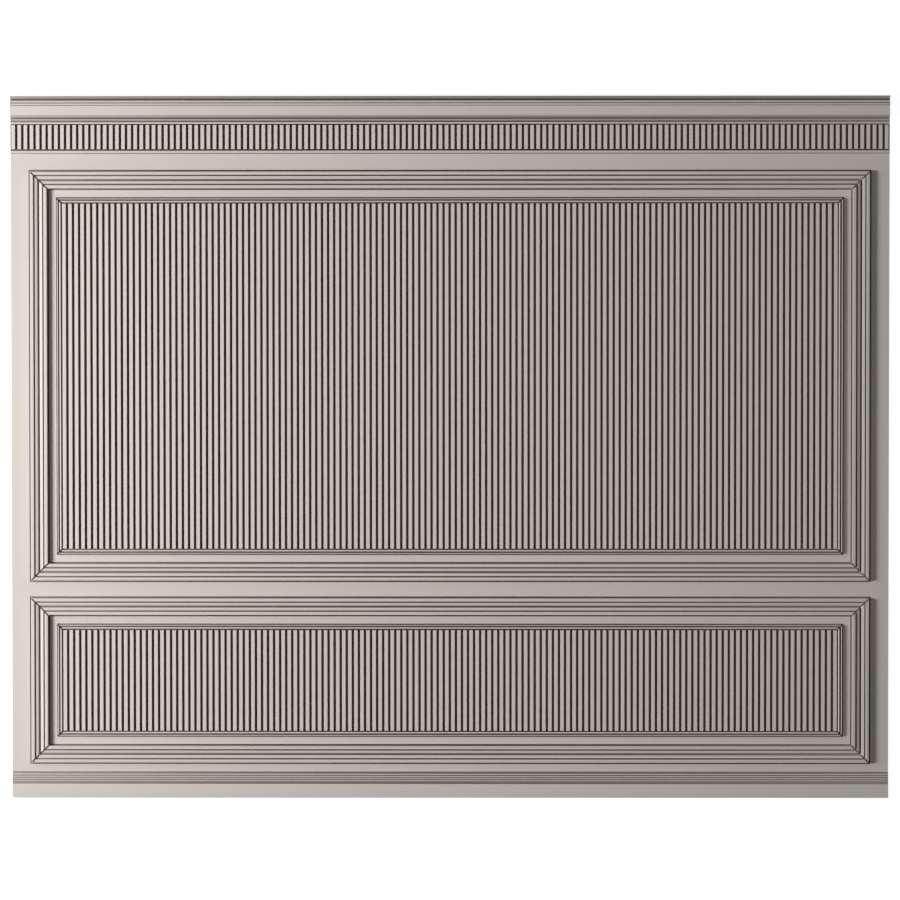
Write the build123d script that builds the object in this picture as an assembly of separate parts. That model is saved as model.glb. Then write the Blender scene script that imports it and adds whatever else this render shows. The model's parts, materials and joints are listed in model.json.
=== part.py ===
from build123d import *
import math
import os

# Three-dimensional wall panel: a backing board dressed with mouldings and ribbed panels.
# It lies on its back. X runs along the width, +Y points to the top edge of the wall,
# +Z points out of the face, and the origin is the centre of the back face.

os.makedirs("parts", exist_ok=True)

# Overall sizes of the panel
panel_width = 3500.0
panel_height = 2800.0
board_thickness = 12.0

# Frame moulding, a wide section that is the same on both sides of its middle valley
frame_width = 72.5
frame_height = 22.0
moulding_foot = 2.0
frame_bevel = 3.5
frame_flat = 12.0
frame_quirk = 6.0
frame_quirk_floor = 5.0
frame_inner_height = 17.5
frame_valley_lip = 15.0
frame_valley_floor = 2.5
frame_valley_half = 4.6

# Twin bead, a narrow reed and a wide reed side by side
small_reed = 5.5
large_reed = 8.3
bead_quirk = 3.8
bead_height = 14.0
bead_shoulder = 8.0
bead_quirk_floor = 1.0

# Plain margins of the backing board round the two framed fields
side_margin = 75.5
base_rail = 38.0
lower_field_height = 663.5
mid_rail = 65.0
top_rail = 67.5
inner_flat = 36.1

# Ribbed panels: square ribs on a thin web
rib_count = 128
rib_width = 14.4
rib_height = 10.0
rib_web = 2.5
bead_clearance = 4.3

# Shadow grooves, V cuts in the backing board along the feet of the mouldings
shadow_groove = 3.6
shadow_depth = 7.0

# Frieze strip and the fillet under it
frieze_rib_count = 144
frieze_height = 96.1
frieze_top_clearance = 4.6
fillet_clearance = 2.6
fillet_bevel = 4.0
fillet_flat = 8.0
fillet_height = 13.0

# Cornice, sizes down from the top edge and out from the board
cap_face = 1.2
cap_soffit_run = 13.8
cap_wall_run = 1.5
cap_projection = 60.0
cap_back_projection = 3.0
upper_reed = 10.4
upper_reed_base = 23.0
upper_reed_height = 8.5
fascia_drop = 38.2
fascia_projection = 28.0
splay_foot = 8.0
splay_quirk = 4.6
splay_quirk_floor = 1.0
first_splay_run = 11.0
second_splay_run = 7.8
second_splay_projection = 20.0
cornice_fillet = 6.8
cornice_fillet_height = 15.0

# Skirting board, sizes up from the bottom edge and out from the board
skirting_plain_rise = 55.0
skirting_thickness = 15.0
skirting_quirk = 8.5
skirting_quirk_floor = 1.0
skirting_reed_count = 4
skirting_reed = 8.4
skirting_reed_base = 4.0
skirting_reed_height = 9.0
skirting_top_slope = 2.5

# Mitre seams: the upper part of each mitred end stands back from its neighbour
mitre_seam = 3.2
mitre_contact_height = 2.0

# Flats that a half-round reed is cut with
reed_steps = 8

face_z = board_thickness
half_width = panel_width / 2
half_height = panel_height / 2
bead_width = small_reed + bead_quirk + large_reed

# Distances down the cornice and up the skirting board
upper_reeds_start = cap_face + cap_soffit_run + cap_wall_run
fascia_start = upper_reeds_start + 2 * upper_reed
fascia_end = fascia_start + fascia_drop
second_splay_start = fascia_end + first_splay_run + splay_quirk
cornice_fillet_start = second_splay_start + second_splay_run + splay_quirk
cornice_drop = cornice_fillet_start + cornice_fillet
skirting_reeds_start = skirting_plain_rise + skirting_quirk
skirting_reeds_end = skirting_reeds_start + skirting_reed_count * skirting_reed
skirting_rise = skirting_reeds_end + skirting_top_slope

# Y of each horizontal line, worked down from the top edge and up from the bottom edge
frieze_top = half_height - cornice_drop - frieze_top_clearance
frieze_bottom = frieze_top - frieze_height
fillet_top = frieze_bottom - fillet_clearance
fillet_bottom = fillet_top - 2 * fillet_bevel - fillet_flat
upper_field_top = fillet_bottom - top_rail
lower_field_bottom = -half_height + skirting_rise + base_rail
lower_field_top = lower_field_bottom + lower_field_height
upper_field_bottom = lower_field_top + mid_rail


def arc_points(centre_u, centre_h, radius_u, radius_h, steps):
    """Points of a half-round reed, from its low side to its far side."""
    points = []
    for step in range(steps + 1):
        angle = math.pi - math.pi * step / steps
        u = centre_u + radius_u * math.cos(angle)
        h = centre_h + radius_h * math.sin(angle)
        points.append((u, h))
    return points


def reed_row(start, reed, base, height, count):
    """Points of several half-round reeds side by side, each joint written once."""
    points = [(start, base)]
    for index in range(count):
        centre = start + (index + 0.5) * reed
        points += arc_points(centre, base, reed / 2, height, reed_steps)[1:]
    return points


def bar_along_x(points, length):
    """A bar with a section of (Y, Z) points, centred on X = 0."""
    outline = Polyline(*[(0, y, z) for y, z in points], close=True)
    section = make_face(outline)
    return Pos(-length / 2, 0, 0) * extrude(section, amount=length, dir=(1, 0, 0))


def mitred_member(profile, width, half_length, seam_z):
    """One side of a mitred frame.

    The profile runs from the outer edge inward as (distance, height). The member lies along
    X with its outer edge on Y = 0, its width toward -Y, and 45 degree ends that meet the
    outer edge at +-half_length.
    """
    bar = bar_along_x([(-u, face_z + h) for u, h in profile], 2 * half_length)
    tall = frame_height + 2 * board_thickness
    ends = Polyline(
        (-half_length, 0, 0),
        (half_length, 0, 0),
        (half_length - width, -width, 0),
        (-half_length + width, -width, 0),
        close=True,
    )
    member = bar & extrude(make_face(ends), amount=tall, dir=(0, 0, 1))
    slot_length = 2 * width * math.sqrt(2)
    for side in (-1, 1):
        slot = Box(slot_length, mitre_seam, tall, align=(Align.CENTER, Align.CENTER, Align.MIN))
        at_corner = Pos(side * half_length, 0, seam_z) * Rot(0, 0, side * 45)
        member -= at_corner * slot
    return member


def frame_profile():
    """Wide frame section: flat shoulder, quirk, slope to the valley, and the mirror of it."""
    middle = frame_width / 2
    shoulder = frame_bevel + frame_flat
    half = [
        (0, 0),
        (0, moulding_foot),
        (frame_bevel, frame_height),
        (shoulder, frame_height),
        (shoulder + frame_quirk / 2, frame_quirk_floor),
        (shoulder + frame_quirk, frame_inner_height),
        (middle - frame_valley_half, frame_valley_lip),
        (middle, frame_valley_floor),
    ]
    mirrored = [(frame_width - u, h) for u, h in reversed(half[:-1])]
    return half + mirrored


def bead_profile():
    """Twin bead section: two reeds on low shoulders with a V quirk between them."""
    rise = bead_height - bead_shoulder
    small = arc_points(small_reed / 2, bead_shoulder, small_reed / 2, rise, reed_steps)
    quirk = (small_reed + bead_quirk / 2, bead_quirk_floor)
    large_centre = small_reed + bead_quirk + large_reed / 2
    large = arc_points(large_centre, bead_shoulder, large_reed / 2, rise, reed_steps)
    return [(0, 0)] + small + [quirk] + large + [(bead_width, 0)]


def groove_ring(left, right, bottom, top, width):
    """A V cut in the face of the board, outside a rectangle and all round it."""
    span = right - left
    height = top - bottom
    root = Pos(0, 0, -shadow_depth) * Rectangle(span + width, height + width)
    outer = loft([root, Rectangle(span + 2 * width, height + 2 * width)])
    inner = loft([root, Rectangle(span, height)])
    return Pos((left + right) / 2, (bottom + top) / 2, face_z) * (outer - inner)


def groove_along_x(top, width):
    """A straight V cut across the whole board, from its upper edge down by a width."""
    points = [(top, face_z), (top - width, face_z), (top - width / 2, face_z - shadow_depth)]
    return bar_along_x(points, panel_width)


def mitred_frame(name, profile, width, left, right, bottom, top):
    """Four mitred members round a rectangle given by its outer edges."""
    seam_z = face_z + mitre_contact_height
    centre_x = (left + right) / 2
    centre_y = (bottom + top) / 2
    half_x = (right - left) / 2
    half_y = (top - bottom) / 2
    across = mitred_member(profile, width, half_x, seam_z)
    upright = mitred_member(profile, width, half_y, seam_z)
    export_step(Pos(centre_x, top, 0) * across, f"parts/{name}_top.step")
    export_step(Pos(centre_x, bottom, 0) * Rot(0, 0, 180) * across, f"parts/{name}_bottom.step")
    export_step(Pos(left, centre_y, 0) * Rot(0, 0, 90) * upright, f"parts/{name}_left.step")
    export_step(Pos(right, centre_y, 0) * Rot(0, 0, -90) * upright, f"parts/{name}_right.step")


def ribbed_sheet(first_rib_x, pitch, count, left, right, length):
    """A thin web with square ribs along Y, its bottom end on Y = 0."""
    web_z = face_z + rib_web
    top_z = web_z + rib_height
    outline = [(left, face_z)]
    if first_rib_x > left:
        outline.append((left, web_z))
    for index in range(count):
        start = first_rib_x + index * pitch
        if start > left:
            outline.append((start, web_z))
        outline.append((start, top_z))
        outline.append((start + rib_width, top_z))
        if start + rib_width < right - 1e-6:
            outline.append((start + rib_width, web_z))
    if outline[-1][1] == web_z:
        outline.append((right, web_z))
    outline.append((right, face_z))
    section = make_face(Polyline(*[(x, 0, z) for x, z in outline], close=True))
    return extrude(section, amount=length, dir=(0, 1, 0))


def framed_field(name, bottom, top):
    """Frame moulding, twin bead and ribbed panel of one field.

    Returns the V cuts that the field needs in the backing board.
    """
    left = -half_width + side_margin
    right = half_width - side_margin

    def inside(inset):
        return left + inset, right - inset, bottom + inset, top - inset

    frame_at = inside(0)
    bead_at = inside(frame_width + inner_flat)
    rib_inset = frame_width + inner_flat + bead_width + bead_clearance
    ribs_at = inside(rib_inset)
    mitred_frame(f"{name}_frame", frame_profile(), frame_width, *frame_at)
    mitred_frame(f"{name}_bead", bead_profile(), bead_width, *bead_at)

    rib_left, rib_right, rib_bottom, rib_top = ribs_at
    pitch = (rib_right - rib_left - rib_width) / (rib_count - 1)
    length = rib_top - rib_bottom
    ribs = ribbed_sheet(rib_left, pitch, rib_count, rib_left, rib_right, length)
    export_step(Pos(0, rib_bottom, 0) * ribs, f"parts/{name}_ribs.step")

    return [
        groove_ring(*frame_at, shadow_groove),
        groove_ring(*inside(frame_width + shadow_groove), shadow_groove),
        groove_ring(*bead_at, shadow_groove),
        groove_ring(*ribs_at, bead_clearance),
    ]


# Framed fields
grooves = framed_field("upper", upper_field_bottom, upper_field_top)
grooves += framed_field("lower", lower_field_bottom, lower_field_top)

# Backing board, with a V cut along the foot of each moulding
grooves.append(groove_along_x(frieze_top + frieze_top_clearance, frieze_top_clearance))
grooves.append(groove_along_x(frieze_bottom, fillet_clearance))
grooves.append(groove_along_x(skirting_rise - half_height + shadow_groove, shadow_groove))
board = Box(
    panel_width,
    panel_height,
    board_thickness,
    align=(Align.CENTER, Align.CENTER, Align.MIN),
)
for groove in grooves:
    board -= groove
export_step(board, "parts/backing_board.step")

# Frieze ribs, with half a groove at each end of the strip
frieze_pitch = panel_width / frieze_rib_count
frieze_first = -half_width + (frieze_pitch - rib_width) / 2
frieze = ribbed_sheet(
    frieze_first,
    frieze_pitch,
    frieze_rib_count,
    -half_width,
    half_width,
    frieze_height,
)
export_step(Pos(0, frieze_bottom, 0) * frieze, "parts/frieze_ribs.step")

# Fillet under the frieze
fillet_points = [
    (fillet_bottom, face_z),
    (fillet_top, face_z),
    (fillet_top, face_z + moulding_foot),
    (fillet_top - fillet_bevel, face_z + fillet_height),
    (fillet_bottom + fillet_bevel, face_z + fillet_height),
    (fillet_bottom, face_z + moulding_foot),
]
export_step(bar_along_x(fillet_points, panel_width), "parts/frieze_fillet.step")

# Cornice, listed down from the top edge as (distance, projection)
cornice = [(0, 0), (0, cap_projection), (cap_face, cap_projection)]
cornice.append((cap_face + cap_soffit_run, cap_back_projection))
cornice += reed_row(upper_reeds_start, upper_reed, upper_reed_base, upper_reed_height, 2)
cornice.append((fascia_start, fascia_projection))
for start, projection, run in (
    (fascia_end, fascia_projection, first_splay_run),
    (second_splay_start, second_splay_projection, second_splay_run),
):
    cornice.append((start, projection))
    cornice.append((start + run, splay_foot))
    cornice.append((start + run + splay_quirk / 2, splay_quirk_floor))
cornice.append((cornice_fillet_start, cornice_fillet_height))
cornice.append((cornice_drop, cornice_fillet_height))
cornice.append((cornice_drop, 0))
cornice_points = [(half_height - u, face_z + h) for u, h in cornice]
export_step(bar_along_x(cornice_points, panel_width), "parts/cornice.step")

# Skirting board, listed up from the bottom edge as (distance, thickness)
skirting = [(0, 0), (0, skirting_thickness), (skirting_plain_rise, skirting_thickness)]
skirting.append((skirting_plain_rise + skirting_quirk / 2, skirting_quirk_floor))
reeds = reed_row(
    skirting_reeds_start,
    skirting_reed,
    skirting_reed_base,
    skirting_reed_height,
    skirting_reed_count,
)
skirting += reeds[reed_steps // 2:]
skirting.append((skirting_rise, 0))
skirting_points = [(u - half_height, face_z + h) for u, h in skirting]
export_step(bar_along_x(skirting_points, panel_width), "parts/skirting_board.step")
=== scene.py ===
import json
import math

import bmesh
import bpy
from bpy.props import FloatProperty, FloatVectorProperty, IntProperty, PointerProperty
from mathutils import Matrix, Vector
from mathutils.geometry import tessellate_polygon


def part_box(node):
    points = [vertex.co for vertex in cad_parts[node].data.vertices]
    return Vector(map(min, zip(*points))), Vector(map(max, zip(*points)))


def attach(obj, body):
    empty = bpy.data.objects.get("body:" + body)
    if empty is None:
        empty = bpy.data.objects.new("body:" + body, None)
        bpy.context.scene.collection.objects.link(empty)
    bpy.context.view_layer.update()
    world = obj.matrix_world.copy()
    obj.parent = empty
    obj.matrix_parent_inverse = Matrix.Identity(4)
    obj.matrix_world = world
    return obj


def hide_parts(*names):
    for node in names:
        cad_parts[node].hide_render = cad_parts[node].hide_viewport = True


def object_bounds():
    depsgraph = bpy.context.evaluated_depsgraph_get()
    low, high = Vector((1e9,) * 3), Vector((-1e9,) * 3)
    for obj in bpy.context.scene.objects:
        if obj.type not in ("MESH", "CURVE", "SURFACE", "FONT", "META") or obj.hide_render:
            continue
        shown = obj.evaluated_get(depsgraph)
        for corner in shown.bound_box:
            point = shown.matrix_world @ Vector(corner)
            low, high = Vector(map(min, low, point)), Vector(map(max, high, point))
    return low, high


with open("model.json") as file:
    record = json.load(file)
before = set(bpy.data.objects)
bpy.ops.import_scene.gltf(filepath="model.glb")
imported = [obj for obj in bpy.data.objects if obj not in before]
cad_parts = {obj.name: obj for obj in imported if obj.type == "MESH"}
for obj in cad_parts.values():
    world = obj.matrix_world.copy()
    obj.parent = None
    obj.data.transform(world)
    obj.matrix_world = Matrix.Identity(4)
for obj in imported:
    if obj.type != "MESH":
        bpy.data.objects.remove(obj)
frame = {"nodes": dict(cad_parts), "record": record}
cad_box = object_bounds()

bl_info = {
    "name": "Ribbed Wall Panel",
    "version": (1, 0, 0),
    "blender": (4, 5, 0),
    "location": "View3D > Sidebar > Wall Panel",
    "description": "Dresses a painted wall panel with softened mouldings, ribs and paint",
    "category": "Object",
}

BODY = "root"
FIELDS = ("upper", "lower")
SIDES = ("top", "bottom", "left", "right")
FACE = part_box("upper_frame_top")[0].z

# Painted shade in the quirks and on steep faces: how far off the board it reaches, the slopes
# and sides on which it starts and how fast it grows there, how it fades towards the ends, and
# what is left of the paint's colour
PAINTED_SHADE_REACH = 1 / 42
PAINTED_SHADE_STARTS_AT = 0.72
PAINTED_SHADE_RAMP = 2.6
SIDE_STARTS_AT = 0.35
SIDE_RAMP = 4.0
PAINTED_SHADE_FADE_TO_ENDS = 0.19
PAINTED_SHADE_COLOUR = (0.05, 0.026, 0.014)

# The rim of the panel that is cut square and gets no painted shade
END_MARGIN = 0.0008

# Attribute that marks the inside corners of a moulding, and how much shade is painted in them
HOLLOW = "hollow"
CORNER_PAINTED_SHADE = 0.85

# Paint on the ribbed sheets: its edge over the web, below which shade is painted between the
# ribs, and how much painted light makes it lighter
WEB_PAINT_MARGIN = 0.0004
RIB_PAINTED_LIGHT_GAIN = 1.06

# Scales of the unevenness in the paint and of the fibres in the bare board
BROAD_MOTTLE = 2.2
FINE_MOTTLE = 11.0
FIBRE = 420.0

# Redrawn sections: turns below which an outline bends gently, from which a corner counts as
# sharp or as hollow, the share of a side that one rounding may take, and how much of a way
# down a wall counts
GENTLE_TURN = math.radians(50)
HOLLOW_TURN = math.radians(25)
SHARP_ANGLE = math.radians(32)
ROUNDED_SHARE = 0.46
WALL_SHARE = 0.15
STRAIGHT = 0.01
TINY = 1e-4

# Camera: where it looks on the panel, how it leans, and the framing of the photograph
CAMERA_TARGET = Vector((0.0005, -0.0105, 0.0))
CAMERA_YAW = math.radians(0.62)
CAMERA_TILT = math.radians(2.31)
CAMERA_LEAN = 0.00045
SENSOR_WIDTH = 36.0
PANEL_SHARE_OF_FRAME = 877.0 / 900.0

# Floor: half its width, how far it lies under the panel, and how bright it is seen
FLOOR_REACH = 40.0
FLOOR_DROP = 0.0005
FLOOR_BRIGHTNESS = 0.9

# Area lamps: place, point that they face, and the two sides of the lamp
MIDDLE = (-0.2, 0.0, 0.0)
LAMPS = {
    "key": ((-8.2, 0.0, 6.1), MIDDLE, (3.0, 1.0)),
    "fill": ((-3.6, 0.4, 1.9), (-1.4, 0.0, 0.0), (0.8, 3.2)),
    "overhead": ((2.0, 0.3, 8.0), MIDDLE, (5.0, 0.6)),
}


class Expr:
    """A shader socket that takes part in Python expressions."""

    def __init__(self, tree, socket):
        self.tree = tree
        self.socket = socket

    def _math(self, operation, *values, clamp=False):
        node = self.tree.nodes.new("ShaderNodeMath")
        node.operation = operation
        node.use_clamp = clamp
        for index, value in enumerate(values):
            if isinstance(value, Expr):
                self.tree.links.new(value.socket, node.inputs[index])
            else:
                node.inputs[index].default_value = value
        return Expr(self.tree, node.outputs[0])

    def __add__(self, other):
        return self._math("ADD", self, other)

    __radd__ = __add__

    def __sub__(self, other):
        return self._math("SUBTRACT", self, other)

    def __rsub__(self, other):
        return self._math("SUBTRACT", other, self)

    def __mul__(self, other):
        return self._math("MULTIPLY", self, other)

    __rmul__ = __mul__

    def __gt__(self, other):
        return self._math("GREATER_THAN", self, other)

    def __lt__(self, other):
        return self._math("LESS_THAN", self, other)

    def __abs__(self):
        return self._math("ABSOLUTE", self)

    def larger(self, other):
        return self._math("MAXIMUM", self, other)

    def held(self):
        """The value kept between 0 and 1."""
        return self._math("ADD", self, 0.0, clamp=True)


class Paint:
    """A material under construction: one method makes every node but the maths."""

    def __init__(self, name):
        self.material = bpy.data.materials.new(name)
        self.material.use_nodes = True
        self.tree = self.material.node_tree
        self.tree.nodes.clear()

    def node(self, kind, settings=None, out=0, **sockets):
        node = self.tree.nodes.new(kind)
        for key, value in (settings or {}).items():
            setattr(node, key, value)
        for key, value in sockets.items():
            name = key.replace("_", " ")
            socket = node.inputs[int(key[1:])] if key[1:].isdigit() else node.inputs[name]
            if isinstance(value, Expr):
                self.tree.links.new(value.socket, socket)
            else:
                socket.default_value = value
        return Expr(self.tree, node.outputs[out])

    def place(self):
        return self.node("ShaderNodeTexCoord", out=3)

    def axis(self, index, normal=False):
        """One part of the place on the panel, or of the way the surface faces."""
        vector = self.node("ShaderNodeTexCoord", out=1) if normal else self.place()
        return self.node("ShaderNodeSeparateXYZ", out=index, Vector=vector)

    def noise(self, scale, detail=2.0, roughness=0.5):
        return self.node(
            "ShaderNodeTexNoise",
            Vector=self.place(),
            Scale=scale,
            Detail=detail,
            Roughness=roughness,
        )

    def blend(self, factor, first, second):
        return self.node(
            "ShaderNodeMix", {"data_type": "RGBA"}, out=2, _0=factor, _6=first, _7=second
        )

    def finish(self, shader):
        output = self.tree.nodes.new("ShaderNodeOutputMaterial")
        self.tree.links.new(shader.socket, output.inputs["Surface"])
        return self.material


def rgba(colour, gain=1.0):
    return (colour[0] * gain, colour[1] * gain, colour[2] * gain, 1.0)


class PaintSettings(bpy.types.PropertyGroup):
    """Colour and surface of the paint."""

    paint_colour: FloatVectorProperty(
        name="Paint colour",
        description="Base colour of the matt paint on the face and mouldings",
        subtype="COLOR",
        size=3,
        min=0.0,
        max=1.0,
        default=tuple(frame["record"]["materials"][0]["base_color"][:3]),
    )
    board_colour: FloatVectorProperty(
        name="Bare board colour",
        description="Colour of the unpainted fibreboard on the back",
        subtype="COLOR",
        size=3,
        min=0.0,
        max=1.0,
        default=(0.36, 0.25, 0.16),
    )
    roughness: FloatProperty(
        name="Roughness",
        description="Mean roughness of the paint",
        min=0.0,
        max=1.0,
        default=0.55,
    )
    stipple_size: FloatProperty(
        name="Stipple size",
        description="Size of the roller stipple in the paint",
        subtype="DISTANCE",
        unit="LENGTH",
        min=0.0002,
        default=0.0015,
    )
    # Painted shade: what is left of the paint's colour on the walls of the deepest quirks
    quirk_shade_tone: FloatProperty(
        name="Quirk tone",
        description="How dark the thin paint is on the walls of the deepest quirks",
        subtype="FACTOR",
        min=0.0,
        max=1.0,
        default=0.14,
    )
    # Painted shade: what is left of the paint's colour on steep faces far off the board
    side_shade_tone: FloatProperty(
        name="Side tone",
        description="How dark the thin paint is on steep faces far off the board",
        subtype="FACTOR",
        min=0.0,
        max=1.0,
        default=0.66,
    )
    # Painted shade: what is left of the paint's colour on the floor between the ribs
    groove_shade_tone: FloatProperty(
        name="Groove tone",
        description="How dark the paint is on the floor between the ribs",
        subtype="FACTOR",
        min=0.0,
        max=1.0,
        default=0.15,
    )


class MouldingSettings(bpy.types.PropertyGroup):
    """Sizes of the mouldings that are drawn finer than the solids."""

    arris_radius: FloatProperty(
        name="Arris radius",
        description="Length taken off each side of a moulding edge by sanding and paint",
        subtype="DISTANCE",
        unit="LENGTH",
        min=0.0001,
        default=0.0008,
    )
    # How far the painted shade reaches on each side of an inside corner
    hollow_reach: FloatProperty(
        name="Hollow reach",
        description="How far the paint stays thin on each side of an inside corner",
        subtype="DISTANCE",
        unit="LENGTH",
        min=0.0005,
        default=0.003,
    )
    mitre_seam: FloatProperty(
        name="Mitre seam",
        description="Width of the open line at each mitre",
        subtype="DISTANCE",
        unit="LENGTH",
        min=0.0,
        default=0.0058,
    )
    seam_depth: FloatProperty(
        name="Mitre contact",
        description="Height over the board up to which mitred ends still touch",
        subtype="DISTANCE",
        unit="LENGTH",
        min=0.0,
        default=0.0022,
    )


class RibSettings(bpy.types.PropertyGroup):
    """Sizes of the ribbed panels and of the ribbed frieze."""

    field_ribs: IntProperty(
        name="Ribs in a field",
        description="Number of ribs in each large ribbed panel",
        min=2,
        default=128,
    )
    frieze_ribs: IntProperty(
        name="Ribs in the frieze",
        description="Number of ribs in the strip under the cornice",
        min=2,
        default=144,
    )
    rib_width: FloatProperty(
        name="Rib width",
        description="Width of one rib",
        subtype="DISTANCE",
        unit="LENGTH",
        min=0.001,
        default=0.0144,
    )
    web: FloatProperty(
        name="Web thickness",
        description="Thickness of the sheet behind the ribs",
        subtype="DISTANCE",
        unit="LENGTH",
        min=0.0005,
        default=0.0025,
    )
    arris_radius: FloatProperty(
        name="Rib arris radius",
        description="Radius on the edges of each rib",
        subtype="DISTANCE",
        unit="LENGTH",
        min=0.0001,
        default=0.0006,
    )


class StageSettings(bpy.types.PropertyGroup):
    """Camera and light."""

    camera_distance: FloatProperty(
        name="Camera distance",
        description="Distance from the camera to the middle of the panel",
        subtype="DISTANCE",
        unit="LENGTH",
        default=24.0,
    )
    key_power: FloatProperty(
        name="Key light",
        description="Power of the large soft light on the left",
        subtype="POWER",
        unit="POWER",
        default=1020.0,
    )
    overhead_power: FloatProperty(
        name="Overhead light",
        description="Power of the long soft light over the panel",
        subtype="POWER",
        unit="POWER",
        default=85.0,
    )
    fill_power: FloatProperty(
        name="Fill light",
        description="Power of the long soft light close to the left end",
        subtype="POWER",
        unit="POWER",
        default=38.0,
    )
    ambient: FloatProperty(
        name="Ambient",
        description="Strength of the even light from all round",
        default=0.05,
    )


def section(node, along):
    """Outline of a straight solid cut across its middle, as (across, height) points."""
    solid = bmesh.new()
    solid.from_mesh(frame["nodes"][node].data)
    bmesh.ops.remove_doubles(solid, verts=solid.verts, dist=1e-6)
    low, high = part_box(node)
    normal = Vector((0.0, 0.0, 0.0))
    normal[along] = 1.0
    everything = solid.verts[:] + solid.edges[:] + solid.faces[:]
    cut = bmesh.ops.bisect_plane(
        solid, geom=everything, plane_co=(low + high) / 2, plane_no=normal
    )["geom_cut"]
    edges = {item for item in cut if isinstance(item, bmesh.types.BMEdge)}
    start = next(iter(sorted(edges, key=lambda edge: edge.index)))
    corner = start.verts[0]
    outline = []
    while edges:
        edge = next((link for link in corner.link_edges if link in edges), None)
        if edge is None:
            raise RuntimeError(f"the section of {node} isn't one closed outline")
        edges.remove(edge)
        outline.append(Vector((corner.co[1 - along], corner.co.z)))
        corner = edge.other_vert(corner)
    solid.free()
    return straightened(outline)


def straightened(outline):
    """The outline without points in the middle of a straight run, going anticlockwise."""
    kept = []
    for index, point in enumerate(outline):
        back = point - outline[index - 1]
        ahead = outline[(index + 1) % len(outline)] - point
        if abs(back.cross(ahead)) > STRAIGHT * back.length * ahead.length:
            kept.append(point)
    area = sum(kept[index - 1].cross(point) for index, point in enumerate(kept))
    return kept if area > 0 else kept[::-1]


def softened(outline, radius):
    """Round the arrises a little and the flats of a reed all the way."""
    foot = min(point.y for point in outline) + TINY
    result = []
    for index, point in enumerate(outline):
        back = outline[index - 1] - point
        ahead = outline[(index + 1) % len(outline)] - point
        turn = math.pi - back.angle(ahead)
        gentle = turn < GENTLE_TURN
        hollow = (-back).cross(ahead) < 0
        if point.y < foot or (hollow and not gentle):
            result.append(point.copy())
            continue
        reach = ROUNDED_SHARE * min(back.length, ahead.length)
        if not gentle:
            reach = min(reach, radius)
        first = point + back.normalized() * reach
        last = point + ahead.normalized() * reach
        steps = 2 if gentle else 3
        for step in range(steps + 1):
            part = step / steps
            result.append(first.lerp(point, part).lerp(point.lerp(last, part), part))
    return result


def hollows(outline, reach):
    """The outline, cut where the hollows end, and how near each point is to an inside corner.

    The way down a wall counts little, because shade, cast and painted, already fills a narrow
    quirk.
    """
    count = len(outline)
    runs = [0.0]
    for index, point in enumerate(outline):
        ahead = outline[(index + 1) % count] - point
        runs.append(runs[-1] + abs(ahead.x) + WALL_SHARE * abs(ahead.y))
    corners = []
    for index, point in enumerate(outline):
        back = point - outline[index - 1]
        ahead = outline[(index + 1) % count] - point
        if back.cross(ahead) < 0 and back.angle(ahead) > HOLLOW_TURN:
            corners.append(runs[index])
    edges = [corner + side * reach for corner in corners for side in (-1, 1)]
    points = []
    nearness = []
    for index, point in enumerate(outline):
        following = outline[(index + 1) % count]
        start, stop = runs[index], runs[index + 1]
        inside = sorted(edge for edge in edges if start + TINY < edge < stop - TINY)
        for place in [start] + inside:
            points.append(point.lerp(following, (place - start) / (stop - start)))
            distance = min((abs(place - corner) for corner in corners), default=reach)
            nearness.append(max(0.0, 1.0 - distance / reach))
    return points, nearness


def swept(name, outline, along, ends):
    """Closed mesh of one outline, run between two ends that may be mitred.

    ends gives, for a point of the outline, where it starts and stops along the run.
    """
    count = len(outline)
    points = []
    for side in (0, 1):
        for point in outline:
            place = [point.x, point.x, point.y]
            place[along] = ends(point)[side]
            points.append(place)
    loop = [Vector((point.x, point.y, 0.0)) for point in outline]
    cap = tessellate_polygon([loop])
    faces = [tuple(triangle) for triangle in cap]
    faces += [tuple(index + count for index in reversed(triangle)) for triangle in cap]
    for index in range(count):
        following = (index + 1) % count
        faces.append((index, following, following + count, index + count))
    mesh = bpy.data.meshes.new(name)
    mesh.from_pydata(points, [], faces)
    body = bmesh.new()
    body.from_mesh(mesh)
    bmesh.ops.recalc_face_normals(body, faces=body.faces)
    body.to_mesh(mesh)
    body.free()
    return mesh


def keep(name, mesh, materials, replaced):
    """Add a finished piece in place of a solid and let it ride on the panel."""
    mesh.materials.clear()
    for material in materials:
        mesh.materials.append(material)
    for polygon in mesh.polygons:
        polygon.use_smooth = True
    mesh.set_sharp_from_angle(angle=SHARP_ANGLE)
    piece = bpy.data.objects.new(name, mesh)
    bpy.context.scene.collection.objects.link(piece)
    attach(piece, BODY)
    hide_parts(replaced)
    return piece


def bar(node, name, material, settings):
    """A moulding cut square at both ends, redrawn with softened arrises."""
    low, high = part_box(node)
    outline = softened(section(node, 0), settings.arris_radius)
    outline, hollow = hollows(outline, settings.hollow_reach)
    mesh = swept(name, outline, 0, lambda point: (low.x, high.x))
    # Nearness to the inside corners, where shade is painted
    marks = mesh.attributes.new(HOLLOW, "FLOAT", "POINT")
    marks.data.foreach_set("value", hollow * 2)
    return keep(name, mesh, [material], node)


def mitred_member(node, side, name, material, seam, settings):
    """One side of a mitred frame, redrawn with softened arrises and an open seam."""
    low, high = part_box(node)
    along = 0 if side in ("top", "bottom") else 1
    outer = (high if side in ("top", "right") else low)[1 - along]
    gap = settings.mitre_seam / math.sqrt(2)
    contact = FACE + settings.seam_depth

    def ends(point):
        inset = abs(outer - point.x) + (gap if point.y > contact else 0.0)
        return low[along] + inset, high[along] - inset

    outline = softened(section(node, along), settings.arris_radius)
    mesh = swept(name, outline, along, ends)
    # The mitred end caps take the dark cut finish, painted shade in the open seam
    for polygon in mesh.polygons:
        polygon.material_index = 1 if len(polygon.vertices) == 3 else 0
    return keep(name, mesh, [material, seam], node)


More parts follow.
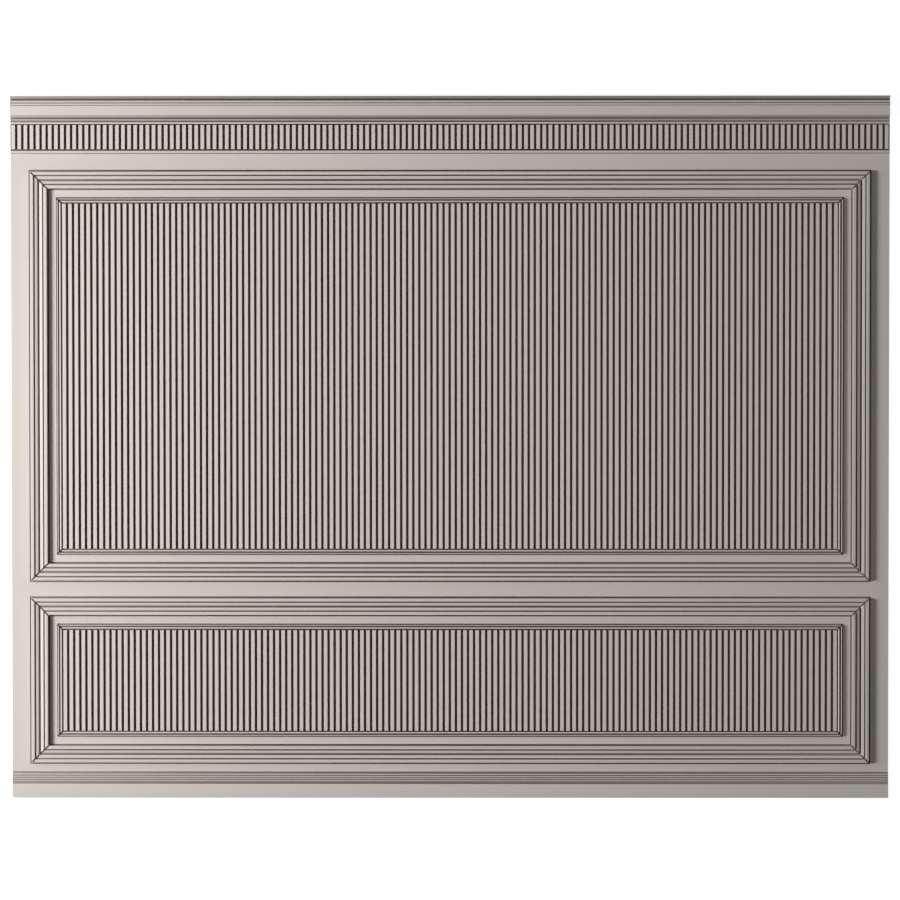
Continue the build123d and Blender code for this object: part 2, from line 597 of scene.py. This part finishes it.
def shaded_side(paint, deep):
    """Where shade is painted on a moulding's wall: facing the top or bottom (less near the
    ends) or the right, away from the light from the left, or facing left deep in a quirk.
    """
    sideways = paint.axis(0, normal=True)
    along = paint.axis(0)
    across = ((abs(paint.axis(1, normal=True)) - SIDE_STARTS_AT) * SIDE_RAMP).held()
    across = across * (1.0 - along * along * PAINTED_SHADE_FADE_TO_ENDS)
    away = ((sideways - SIDE_STARTS_AT) * SIDE_RAMP).held()
    toward = ((-SIDE_STARTS_AT - sideways) * SIDE_RAMP).held() * deep
    return across.larger(away).larger(toward)


def coat(paint, settings, groove=None, gain=1.0, hollows_marked=False):
    """Base colour of the paint: a faint mottle, and darker painted shade in the quirks and on
    shaded steep faces.
    """
    colour = [part * gain for part in settings.paint_colour]
    tone = paint.blend(paint.noise(BROAD_MOTTLE, 3.0), rgba(colour, 0.985), rgba(colour, 1.015))
    warm = (colour[0] * 1.01, colour[1], colour[2] * 0.985, 1.0)
    tone = paint.blend(paint.noise(FINE_MOTTLE) * 0.5, tone, warm)

    half_width = cad_box[1][0] - END_MARGIN
    half_height = cad_box[1][1] - END_MARGIN
    on_face = (abs(paint.axis(0)) < half_width) * (abs(paint.axis(1)) < half_height)
    height = paint.axis(2) - FACE
    upward = paint.axis(2, normal=True)
    # Painted shade on steep faces, darker deep down near the board
    steep = ((PAINTED_SHADE_STARTS_AT - upward) * PAINTED_SHADE_RAMP).held() * on_face
    deep = (1.0 - height * (1 / PAINTED_SHADE_REACH)).held()
    raised = 1.0 - deep
    # On the mouldings, painted shade only on faces turned away from the light from the left or
    # deep in a quirk
    if groove is None:
        deep = deep * steep
        steep = steep * shaded_side(paint, deep)
    tone_there = settings.side_shade_tone - deep * (settings.side_shade_tone - settings.quirk_shade_tone)
    painted_shade = steep * (1.0 - tone_there)
    # Painted shade in the inside corners
    if hollows_marked:
        corner = paint.node("ShaderNodeAttribute", {"attribute_name": HOLLOW}, out=2)
        painted_shade = painted_shade.larger(corner * raised * CORNER_PAINTED_SHADE)
    # Painted shade on the floor between the ribs
    if groove is not None:
        floor = (height < groove) * (height > 0.0)
        painted_shade = (painted_shade + floor * (1.0 - settings.groove_shade_tone)).held()
    # Colour of the painted shade
    dark = [part * share for part, share in zip(colour, PAINTED_SHADE_COLOUR)]
    return paint.blend(painted_shade, tone, (*dark, 1.0))


def skin(paint, settings, tone, sheen=0.0):
    """Finish a paint with its uneven sheen and its roller stipple."""
    cloud = paint.noise(FINE_MOTTLE)
    stipple = paint.noise(1.0 / settings.stipple_size, 2.0, 0.6)
    rough = settings.roughness + (cloud - 0.5) * 0.08 + (stipple - 0.5) * 0.06 + sheen
    bump = paint.node("ShaderNodeBump", Strength=0.12, Distance=0.0002, Height=stipple)
    shader = paint.node(
        "ShaderNodeBsdfPrincipled",
        Base_Color=tone,
        Roughness=rough,
        Specular_IOR_Level=0.3,
        Normal=bump,
    )
    return paint.finish(shader)


def moulding_paint(settings):
    """Matt greige paint on the frames and beads, with painted shade in the quirks and on shaded
    faces.
    """
    paint = Paint("Greige Moulding Paint")
    return skin(paint, settings, coat(paint, settings))


def rail_paint(settings):
    """The same paint on the cornice, fillet and skirting, with painted shade in their inside
    corners.
    """
    paint = Paint("Greige Rail Paint")
    return skin(paint, settings, coat(paint, settings, hollows_marked=True))


def seam_finish(settings):
    """Cut ends of the mouldings inside an open mitre: the fibreboard's own colour darkened to 8
    to 16 per cent as painted shade in the open seam.
    """
    paint = Paint("Mitre Cut")
    board = settings.board_colour
    fibre = paint.noise(FIBRE, 4.0, 0.7)
    return skin(paint, settings, paint.blend(fibre, rgba(board, 0.08), rgba(board, 0.16)))


def rib_paint(settings, web):
    """The same paint on the ribbed panels, made lighter by painted light, with painted shade on
    the floor between the ribs.
    """
    paint = Paint("Greige Rib Paint")
    tone = coat(paint, settings, groove=web + WEB_PAINT_MARGIN, gain=RIB_PAINTED_LIGHT_GAIN)
    return skin(paint, settings, tone)


def board_paint(settings):
    """The same paint on the backing board, with painted shade in its steep grooves and bare
    brown fibreboard on its back.
    """
    paint = Paint("Greige Board Paint and Bare Back")
    board = settings.board_colour
    bare = paint.blend(paint.noise(FIBRE, 4.0, 0.7), rgba(board, 0.8), rgba(board, 1.2))
    back = (paint.axis(2) + (paint.noise(FINE_MOTTLE) - 0.5) * 0.001) < 0.0006
    tone = paint.blend(back, coat(paint, settings), bare)
    return skin(paint, settings, tone, sheen=back * 0.3)


def ribbed_tree(material):
    """Nodes that lay a row of softened ribs on a slim web."""
    tree = bpy.data.node_groups.new("Ribbed Sheet", "GeometryNodeTree")
    tree.interface.new_socket("Geometry", in_out="OUTPUT", socket_type="NodeSocketGeometry")
    for name, kind in (
        ("Count", "NodeSocketInt"),
        ("Pitch", "NodeSocketFloat"),
        ("Rib Width", "NodeSocketFloat"),
        ("Rib Height", "NodeSocketFloat"),
        ("Rib Radius", "NodeSocketFloat"),
        ("Length", "NodeSocketFloat"),
        ("First Rib", "NodeSocketVector"),
        ("Web Size", "NodeSocketVector"),
        ("Web Centre", "NodeSocketVector"),
    ):
        tree.interface.new_socket(name, in_out="INPUT", socket_type=kind)
    given = tree.nodes.new("NodeGroupInput")

    def node(kind, settings=None, **sockets):
        made = tree.nodes.new(kind)
        for key, value in (settings or {}).items():
            setattr(made, key, value)
        for key, value in sockets.items():
            socket = made.inputs[key.replace("_", " ")]
            if isinstance(value, bpy.types.NodeSocket):
                tree.links.new(value, socket)
            else:
                socket.default_value = value
        return made

    face = node(
        "GeometryNodeCurvePrimitiveQuadrilateral",
        Width=given.outputs["Rib Width"],
        Height=given.outputs["Rib Height"],
    )
    rounded = node(
        "GeometryNodeFilletCurve",
        Curve=face.outputs[0],
        Radius=given.outputs["Rib Radius"],
        Limit_Radius=True,
    )
    reach = node("ShaderNodeCombineXYZ", Y=given.outputs["Length"])
    run = node("GeometryNodeCurvePrimitiveLine", End=reach.outputs[0])
    rib = node(
        "GeometryNodeCurveToMesh",
        Curve=run.outputs[0],
        Profile_Curve=rounded.outputs[0],
        Fill_Caps=True,
    )
    step = node("ShaderNodeCombineXYZ", X=given.outputs["Pitch"])
    row = node(
        "GeometryNodeMeshLine",
        {"mode": "OFFSET"},
        Count=given.outputs["Count"],
        Start_Location=given.outputs["First Rib"],
        Offset=step.outputs[0],
    )
    ribs = node("GeometryNodeInstanceOnPoints", Points=row.outputs[0], Instance=rib.outputs[0])
    slab = node("GeometryNodeMeshCube", Size=given.outputs["Web Size"])
    web = node(
        "GeometryNodeTransform",
        Geometry=slab.outputs[0],
        Translation=given.outputs["Web Centre"],
    )
    joined = node("GeometryNodeJoinGeometry")
    for part in (web, ribs):
        tree.links.new(part.outputs[0], joined.inputs[0])
    real = node("GeometryNodeRealizeInstances", Geometry=joined.outputs[0])
    dressed = node("GeometryNodeSetMaterial", Geometry=real.outputs[0], Material=material)
    result = tree.nodes.new("NodeGroupOutput")
    tree.links.new(dressed.outputs[0], result.inputs[0])
    return tree


def ribbed_sheet(node, count, edge_grooves, tree, material, settings):
    """One ribbed sheet; with edge_grooves half a groove is left at both its ends."""
    low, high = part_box(node)
    width = settings.rib_width
    span = high.x - low.x
    pitch = span / count if edge_grooves else (span - width) / (count - 1)
    first = low.x + (pitch if edge_grooves else width) / 2
    sunk = settings.web / 2
    tall = high.z - low.z - sunk
    values = {
        "Count": count,
        "Pitch": pitch,
        "Rib Width": width,
        "Rib Height": tall,
        "Rib Radius": settings.arris_radius,
        "Length": high.y - low.y,
        "First Rib": (first, low.y, high.z - tall / 2),
        "Web Size": (span, high.y - low.y, settings.web),
        "Web Centre": ((low.x + high.x) / 2, (low.y + high.y) / 2, low.z + settings.web / 2),
    }
    seed = bpy.data.objects.new("rib_seed", bpy.data.meshes.new("rib_seed"))
    bpy.context.scene.collection.objects.link(seed)
    modifier = seed.modifiers.new("ribs", "NODES")
    modifier.node_group = tree
    for item in tree.interface.items_tree:
        if item.in_out == "INPUT":
            modifier[item.identifier] = values[item.name]
    seen = seed.evaluated_get(bpy.context.evaluated_depsgraph_get())
    mesh = bpy.data.meshes.new_from_object(seen)
    seed.modifiers.remove(modifier)
    bpy.data.objects.remove(seed)
    mesh.name = node
    return keep(f"{node}_sheet", mesh, [material], node)


def upright(backward, lean=0.0):
    """Turn that looks along -backward with the top edge of the panel up in the picture."""
    z = backward.normalized()
    x = Vector((lean, 1.0, 0.0)).cross(z).normalized()
    y = z.cross(x)
    return Matrix((x, y, z)).transposed().to_euler()


class WALLPANEL_OT_stage(bpy.types.Operator):
    """Set up the floor, the lights and the camera"""

    bl_idname = "wallpanel.stage"
    bl_label = "Stage"

    def execute(self, context):
        scene = context.scene
        settings = scene.wallpanel_stage
        scene.view_settings.view_transform = "Standard"
        self.floor(scene)
        self.surroundings(scene, settings.ambient)
        for name, (place, target, size) in LAMPS.items():
            self.lamp(scene, name, place, target, size, getattr(settings, f"{name}_power"))
        self.camera(scene, settings.camera_distance)
        return {"FINISHED"}

    @staticmethod
    def floor(scene):
        mesh = bpy.data.meshes.new("floor")
        corners = [(-1, -1), (1, -1), (1, 1), (-1, 1)]
        points = [(x * FLOOR_REACH, y * FLOOR_REACH, 0) for x, y in corners]
        mesh.from_pydata(points, [], [(0, 1, 2, 3)])
        floor = bpy.data.objects.new("floor", mesh)
        floor.location.z = cad_box[0][2] - FLOOR_DROP
        scene.collection.objects.link(floor)
        paint = Paint("Studio Floor")
        path = paint.tree.nodes.new("ShaderNodeLightPath")
        seen = Expr(paint.tree, path.outputs["Is Camera Ray"])
        glossy = Expr(paint.tree, path.outputs["Is Glossy Ray"])
        shown = paint.node("ShaderNodeEmission", Strength=(seen + glossy) * FLOOR_BRIGHTNESS)
        ground = paint.node("ShaderNodeBsdfDiffuse", Color=(0.5, 0.5, 0.5, 1.0))
        both = paint.node("ShaderNodeAddShader", _0=shown, _1=ground)
        mesh.materials.append(paint.finish(both))

    @staticmethod
    def surroundings(scene, ambient):
        world = bpy.data.worlds.new("Studio")
        world.use_nodes = True
        scene.world = world
        tree = world.node_tree
        tree.nodes.clear()
        light_path = tree.nodes.new("ShaderNodeLightPath")
        seen = Expr(tree, light_path.outputs["Is Camera Ray"])
        strength = seen * (1.0 - ambient) + ambient
        background = tree.nodes.new("ShaderNodeBackground")
        background.inputs["Color"].default_value = (1.0, 1.0, 1.0, 1.0)
        tree.links.new(strength.socket, background.inputs["Strength"])
        output = tree.nodes.new("ShaderNodeOutputWorld")
        tree.links.new(background.outputs[0], output.inputs["Surface"])

    @staticmethod
    def lamp(scene, name, place, target, size, power):
        data = bpy.data.lights.new(name, "AREA")
        data.shape = "RECTANGLE"
        data.size, data.size_y = size
        data.energy = power
        lamp = bpy.data.objects.new(name, data)
        lamp.location = place
        lamp.rotation_euler = upright(Vector(place) - Vector(target))
        lamp.visible_camera = False
        scene.collection.objects.link(lamp)

    @staticmethod
    def camera(scene, distance):
        data = bpy.data.cameras.new("camera")
        camera = bpy.data.objects.new("camera", data)
        scene.collection.objects.link(camera)
        scene.camera = camera
        backward = Vector((math.sin(CAMERA_YAW), math.sin(CAMERA_TILT), 1.0)).normalized()
        camera.location = CAMERA_TARGET + backward * distance
        camera.rotation_euler = upright(camera.location - CAMERA_TARGET, lean=CAMERA_LEAN)
        panel_width = cad_box[1][0] - cad_box[0][0]
        data.sensor_width = SENSOR_WIDTH
        data.lens = SENSOR_WIDTH * PANEL_SHARE_OF_FRAME / panel_width * distance
        data.clip_end = 200.0


class WALLPANEL_OT_board(bpy.types.Operator):
    """Paint the backing board and leave its back bare"""

    bl_idname = "wallpanel.board"
    bl_label = "Backing board"

    def execute(self, context):
        board = frame["nodes"]["backing_board"].data
        board.materials.clear()
        board.materials.append(board_paint(context.scene.wallpanel_paint))
        return {"FINISHED"}


class WALLPANEL_OT_rails(bpy.types.Operator):
    """Make the cornice, the fillet under the frieze and the skirting board"""

    bl_idname = "wallpanel.rails"
    bl_label = "Cornice, fillet and skirting"

    def execute(self, context):
        scene = context.scene
        paint = rail_paint(scene.wallpanel_paint)
        for node in ("cornice", "frieze_fillet", "skirting_board"):
            bar(node, f"{node}_moulding", paint, scene.wallpanel_moulding)
        return {"FINISHED"}


class WALLPANEL_OT_frames(bpy.types.Operator):
    """Make the mitred frames and twin beads round both fields"""

    bl_idname = "wallpanel.frames"
    bl_label = "Frames and beads"

    def execute(self, context):
        scene = context.scene
        paint = moulding_paint(scene.wallpanel_paint)
        seam = seam_finish(scene.wallpanel_paint)
        for field in FIELDS:
            for kind in ("frame", "bead"):
                for side in SIDES:
                    node = f"{field}_{kind}_{side}"
                    name = f"{node}_moulding"
                    mitred_member(node, side, name, paint, seam, scene.wallpanel_moulding)
        return {"FINISHED"}


class WALLPANEL_OT_ribs(bpy.types.Operator):
    """Make the two ribbed panels and the ribbed frieze"""

    bl_idname = "wallpanel.ribs"
    bl_label = "Ribbed panels and frieze"

    def execute(self, context):
        scene = context.scene
        ribs = scene.wallpanel_ribs
        paint = rib_paint(scene.wallpanel_paint, ribs.web)
        tree = ribbed_tree(paint)
        for field in FIELDS:
            ribbed_sheet(f"{field}_ribs", ribs.field_ribs, False, tree, paint, ribs)
        ribbed_sheet("frieze_ribs", ribs.frieze_ribs, True, tree, paint, ribs)
        return {"FINISHED"}


class WALLPANEL_PT_sidebar(bpy.types.Panel):
    """Lists the pieces of the wall panel"""

    bl_idname = "WALLPANEL_PT_sidebar"
    bl_label = "Wall Panel"
    bl_space_type = "VIEW_3D"
    bl_region_type = "UI"
    bl_category = "Wall Panel"

    def draw(self, context):
        for operator in STEPS:
            self.layout.operator(operator.bl_idname)


GROUPS = {
    "wallpanel_paint": PaintSettings,
    "wallpanel_moulding": MouldingSettings,
    "wallpanel_ribs": RibSettings,
    "wallpanel_stage": StageSettings,
}
STEPS = (
    WALLPANEL_OT_stage,
    WALLPANEL_OT_board,
    WALLPANEL_OT_rails,
    WALLPANEL_OT_frames,
    WALLPANEL_OT_ribs,
)


def register():
    for group in (*GROUPS.values(), *STEPS, WALLPANEL_PT_sidebar):
        bpy.utils.register_class(group)
    for name, group in GROUPS.items():
        setattr(bpy.types.Scene, name, PointerProperty(type=group))


def unregister():
    for name in GROUPS:
        delattr(bpy.types.Scene, name)
    for group in reversed((*GROUPS.values(), *STEPS, WALLPANEL_PT_sidebar)):
        bpy.utils.unregister_class(group)


def main():
    register()
    for step in STEPS:
        area, name = step.bl_idname.split(".")
        getattr(getattr(bpy.ops, area), name)()


if __name__ == "__main__":
    main()
